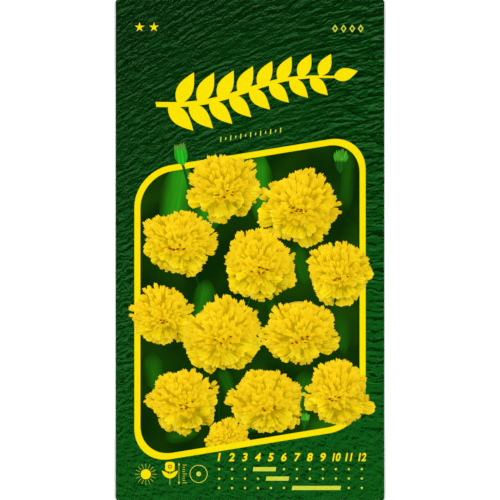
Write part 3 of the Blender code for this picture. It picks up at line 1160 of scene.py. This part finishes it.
def draw_back_guides(art):
    """Three rows of plain sowing pictures: seeds in a row, then the plants as they grow."""
    art.start(DARK_INK)
    margin = BACK_MARGIN + 1.0
    left, right = BACK_LOW[0] + margin, BACK_HIGH[0] - margin
    plants, ground_half, seed_depth, seed_radius = 7, 0.25, 1.8, 0.55
    stem_half, root_depth, growth = 0.14, 1.6, 2.2
    splay, leaf_drop, leaf_half, steps, fullest = math.radians(50), 0.6, 0.45, 10, 0.55
    for stage in range(3):
        ground = BACK_GUIDES_TOP - BACK_GUIDES_PITCH * stage
        top = ground + growth * stage
        art.fill(level(ground, left, right, ground_half))
        for i in range(plants):
            x = left + (right - left) * (i + 0.5) / plants
            if stage == 0:
                art.fill(circle((x, ground - seed_depth), seed_radius, 16))
                continue
            art.fill(upright(x, ground - root_depth, top, stem_half))
            foot, length = (x, top - leaf_drop), 1.6 + 0.5 * stage
            for side in (-1, 1):
                art.fill(leaf_outline(foot, UP - side * splay, length, leaf_half, steps, fullest))


# From regions to a mesh


def visible_regions(art, cut):
    """For each face of the cut plane, the last region over it that may show there, or -1."""
    shown = []
    for sources in cut:
        regions = [art.region_of_face[s] for s in sources]
        in_picture = any(art.kinds[r] == GROUND for r in regions)
        allowed = [r for r in regions if in_picture or not art.inside_frame[r]]
        shown.append(max(allowed) if allowed else -1)
    return shown


def net_points(art):
    """Loose points all over the print, so that no triangle is long enough to leave the paper."""
    low_x, low_y = np.min(art.points, axis=0)
    high_x, high_y = np.max(art.points, axis=0)
    points = []
    for j, y in enumerate(np.arange(low_y + NET_SPACING / 2, high_y, NET_SPACING)):
        shift = NET_SPACING / 2 * (j % 2)
        points.extend((x, y) for x in np.arange(low_x + shift, high_x, NET_SPACING))
    return points


def cut_regions(art):
    """The regions cut against each other: flat points, triangles, and each triangle's region."""
    points = [Vector(p) for p in art.points + net_points(art)]
    cut = geometry.delaunay_2d_cdt(points, [], art.faces, TRIANGLES_INSIDE, CUT_PRECISION, True)
    out_points, _, triangles, _, _, sources = cut
    shown = visible_regions(art, sources)
    kept = [i for i, region in enumerate(shown) if region >= 0]
    used, corners = np.unique([triangles[i] for i in kept], return_inverse=True)
    flat = np.array([(p.x, p.y) for p in out_points])[used]
    return flat, corners.reshape(-1, 3), np.array([shown[i] for i in kept])


def print_mesh(name, art, level_at, faces_down):
    """One thin skin of ink over the paper, with only the topmost regions kept."""
    flat, triangles, regions = cut_regions(art)
    if faces_down:
        triangles = triangles[:, ::-1]
    points = np.column_stack([flat, level_at(flat[:, 0], flat[:, 1])]) * MM
    mesh = bpy.data.meshes.new(name)
    mesh.from_pydata(points, [], triangles.tolist())
    mesh.polygons.foreach_set("material_index", np.array(art.kinds)[regions])
    write_corner_facts(mesh, art, flat, regions)
    mesh.shade_smooth()
    return mesh


def write_corner_facts(mesh, art, flat, regions):
    """Writes each corner's place in its own region, and the region's tint."""
    vertex_of_corner = np.empty(len(mesh.loops), dtype=np.int32)
    mesh.loops.foreach_get("vertex_index", vertex_of_corner)
    region_of_corner = np.repeat(regions, 3)
    axes = np.array(art.axes)[region_of_corner]
    x, y = (flat[vertex_of_corner] - axes[:, 0:2]).T
    u_x, u_y, v_x, v_y, picks = axes[:, 2:7].T
    area = u_x * v_y - u_y * v_x
    places = np.column_stack([(x * v_y - y * v_x) / area, (u_x * y - u_y * x) / area, picks])
    for name, values in (("local", places), ("tint", np.array(art.tints)[region_of_corner])):
        attribute = mesh.attributes.new(name, "FLOAT_VECTOR", "CORNER")
        attribute.data.foreach_set("vector", values.astype(np.float32).ravel())


def print_materials():
    """The print's materials, in the order of the region kinds."""
    return (
        printed("printed yellow", ink_colour, srgb(255, 235, 0), srgb(252, 227, 0)),
        printed("printed pale yellow", ink_colour, srgb(214, 226, 70), srgb(200, 214, 62)),
        printed("printed picture ground", ground_colour),
        printed("printed soft leaves", soft_leaf_colour),
        printed("printed petals", petal_colour),
        printed("printed buds", bud_colour),
        printed("printed bloom hearts", speck_colour),
        printed("printed cream", ink_colour, srgb(250, 242, 190), srgb(246, 236, 176)),
        printed("printed dark green", ink_colour, srgb(6, 70, 20), srgb(4, 60, 16)),
    )


def add_print(name, art, level_at, materials, faces_down=False):
    """A skin of ink that rides on the packet."""
    mesh = print_mesh(name, art, level_at, faces_down)
    for material in materials:
        mesh.materials.append(material)
    obj = add_object(name, mesh)
    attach(obj, "root")


# The paper


def inset_lines(half, cells):
    """Grid lines across a panel, with a narrow cell at each end for the corner notches."""
    inner = half - CORNER_NOTCH
    return [-half] + spread(-inner, inner, cells) + [half]


def grid(bm, rows):
    """Adds the quads between rows of points."""
    made = [[bm.verts.new(Vector(point) * MM) for point in row] for row in rows]
    for low, high in zip(made, made[1:]):
        for i in range(len(low) - 1):
            bm.faces.new((low[i], low[i + 1], high[i + 1], high[i]))


def half_round(middle, half, edge, depth):
    """Points round a fold as places out and up: over its middle, past its edge and under it."""
    return [(edge + depth * math.cos(angle), middle + half * math.sin(angle))
            for angle in spread(math.pi / 2, -math.pi / 2, FOLD_STEPS)]


def side_fold(side, y):
    """Points of a side fold at one height, from the front panel round to the wing."""
    middle = outer_wing_level(y) + SIDE_FOLD_HALF_HEIGHT
    turn = half_round(middle, SIDE_FOLD_HALF_HEIGHT, FRONT_X, SIDE_FOLD_DEPTH)
    return [(side * out, y, up) for out, up in turn]


def end_fold(side, x):
    """Points of the top or bottom fold at one place, from the front panel round to the flap."""
    top, bottom = front_level(x, side * FRONT_Y), PAPER / 2
    turn = half_round((top + bottom) / 2, (top - bottom) / 2, FRONT_Y, END_FOLD_DEPTH)
    return [(x, side * out, up) for out, up in turn]


def flap_points(side, x, length):
    """Points of an end flap, whose sides taper towards its free edge."""
    reach = length - END_FOLD_DEPTH
    return [(x * (1 - share * FLAP_TAPER / FRONT_X), side * (FRONT_Y - reach * share), PAPER / 2)
            for share in spread(0.0, 1.0, FLAP_CELLS)]


def paper_mesh():
    """The folded sheet's middle surface at full fineness, with its outside facing out."""
    bm = bmesh.new()
    x_lines = inset_lines(FRONT_X, PAPER_CELLS_X)
    y_lines = inset_lines(FRONT_Y, PAPER_CELLS_Y)
    fold_y, fold_x = y_lines[1:-1], x_lines[1:-1]
    grid(bm, [[(x, y, front_level(x, y)) for x in x_lines] for y in y_lines])
    for side, ys in ((1, fold_y), (-1, fold_y[::-1])):
        grid(bm, [side_fold(side, y) for y in ys])
    for side, xs, length in ((-1, fold_x, BOTTOM_FLAP), (1, fold_x[::-1], TOP_FLAP)):
        grid(bm, [end_fold(side, x) for x in xs])
        grid(bm, [flap_points(side, x, length) for x in xs])
    outer_x = spread(FRONT_X, -SEAM_HALF, WING_CELLS)
    grid(bm, [[(x, y, outer_wing_level(y)) for x in outer_x] for y in fold_y])
    step = -SEAM_HALF - SEAM_STEP_WIDTH
    inner_x = spread(-FRONT_X, step, WING_CELLS // 2) + spread(step, -SEAM_HALF, STEP_CELLS)[1:] + [SEAM_HALF]
    grid(bm, [[(x, y, inner_wing_level(x, y)) for x in inner_x] for y in fold_y[::-1]])
    bmesh.ops.remove_doubles(bm, verts=bm.verts, dist=WELD * MM)
    bmesh.ops.recalc_face_normals(bm, faces=bm.faces)
    bm.faces.ensure_lookup_table()
    if max(bm.faces, key=lambda f: f.calc_center_median().z).normal.z < 0:
        bmesh.ops.reverse_faces(bm, faces=bm.faces)
    mesh = bpy.data.meshes.new("paper_envelope")
    bm.to_mesh(mesh)
    bm.free()
    mesh.shade_smooth()
    return mesh


def make_paper():
    """The folded sheet: leather print outside, bare paper inside and at its edges."""
    mesh = paper_mesh()
    mesh.materials.append(printed("printed leather", leather_colour))
    mesh.materials.append(white_paper_material())
    obj = add_object("paper_envelope", mesh)
    solidify = obj.modifiers.new("thickness", "SOLIDIFY")
    configured(solidify, thickness=VISUAL_PAPER * MM, offset=0.0, use_even_offset=True,
               material_offset=1, material_offset_rim=1)
    return obj


# Carried-over solids


def glue_material():
    """Dried glue: pale amber, cloudy, a little glossy."""
    tree = Tree("dry glue")
    cloud = tree.noise(tree.millimetres(), 0.9, 3.0, 0.6)
    colour = tree.mix(cloud.ramp(0.3, 0.7), srgb(222, 208, 168), srgb(240, 232, 204))
    tree.bump(cloud, 0.3, GLUE_DEPTH)
    return tree.finish(colour, cloud.ramp(0.3, 0.7, 0.25, 0.5), specular=0.5)


def seed_material():
    """Dry seeds: near-black bodies with fine ridges, fading to straw tufts."""
    tree = Tree("dry seeds")
    place = tree.millimetres()
    ridge = tree.noise(place, 4.0, 3.0, 0.6)
    tuft = tree.noise(place, 0.55, 2.0, 0.6).ease(0.55, 0.66)
    dark = tree.mix(ridge.ramp(0.35, 0.65), srgb(34, 28, 24), srgb(78, 66, 54))
    colour = tree.mix(tuft, dark, srgb(206, 182, 128))
    tree.bump(ridge, 0.5, RIDGE_DEPTH)
    return tree.finish(colour, roughness=0.7, specular=0.3)


def dress_solids():
    """Gives the carried-over glue lines and seeds their finishes."""
    glue = glue_material()
    finishes = {"glue_seam": glue, "glue_bottom_flap": glue, "glue_top_flap": glue, "seeds": seed_material()}
    for node, material in finishes.items():
        for material_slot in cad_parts[node].material_slots:
            material_slot.material = material


# Stage


def make_floor():
    """A wide pale floor just under the packet."""
    bpy.ops.mesh.primitive_circle_add(
        vertices=96, radius=FLOOR_RADIUS, fill_type="NGON", location=(0, 0, -FLOOR_DROP))
    floor = bpy.context.object
    floor.name = "floor"
    tree = Tree("pale floor")
    speckle = tree.noise(tree.millimetres(), 0.02).ramp(0.3, 0.7)
    white = tree.mix(speckle, (0.97, 0.97, 0.97, 1), (0.99, 0.99, 0.99, 1))
    floor.data.materials.append(tree.finish(white, roughness=0.9, specular=0.1))


def make_lights():
    """Soft lights round the packet, and an even pale world."""
    for index in range(LIGHTS):
        bearing = 2 * math.pi * (index + 0.5) / LIGHTS
        data = bpy.data.lights.new(f"soft light {index}", "AREA")
        light = add_object(data.name, configured(data, shape="DISK", size=LIGHT_SIZE, energy=LIGHT_POWER))
        light.location = (LIGHT_OUT * math.cos(bearing), LIGHT_OUT * math.sin(bearing), LIGHT_HEIGHT)
        light.rotation_euler = (-light.location).to_track_quat("-Z", "Y").to_euler()
    world = bpy.data.worlds.new("studio")
    world.use_nodes = True
    background = world.node_tree.nodes["Background"].inputs
    background["Color"].default_value = (1, 1, 1, 1)
    background["Strength"].default_value = WORLD_STRENGTH
    bpy.context.scene.world = world
    bpy.context.scene.view_settings.view_transform = "Standard"


def make_camera():
    """A long lens straight above the packet."""
    data = bpy.data.cameras.new("camera")
    camera = add_object("camera", configured(data, lens=CAMERA_LENS, sensor_width=CAMERA_SENSOR))
    distance = HEIGHT * MM * CAMERA_LENS / CAMERA_SENSOR / PHOTO_CROP
    camera.location = (0.0, 0.0, distance + MM)
    bpy.context.scene.camera = camera


def main():
    paper = make_paper()
    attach(paper, "root")
    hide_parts("envelope")

    materials = print_materials()
    add_print("front_print", draw_front(), front_ink_level, materials)
    add_print("back_print", draw_back(), back_ink_level, materials, faces_down=True)

    dress_solids()
    make_floor()
    make_lights()
    make_camera()


main()
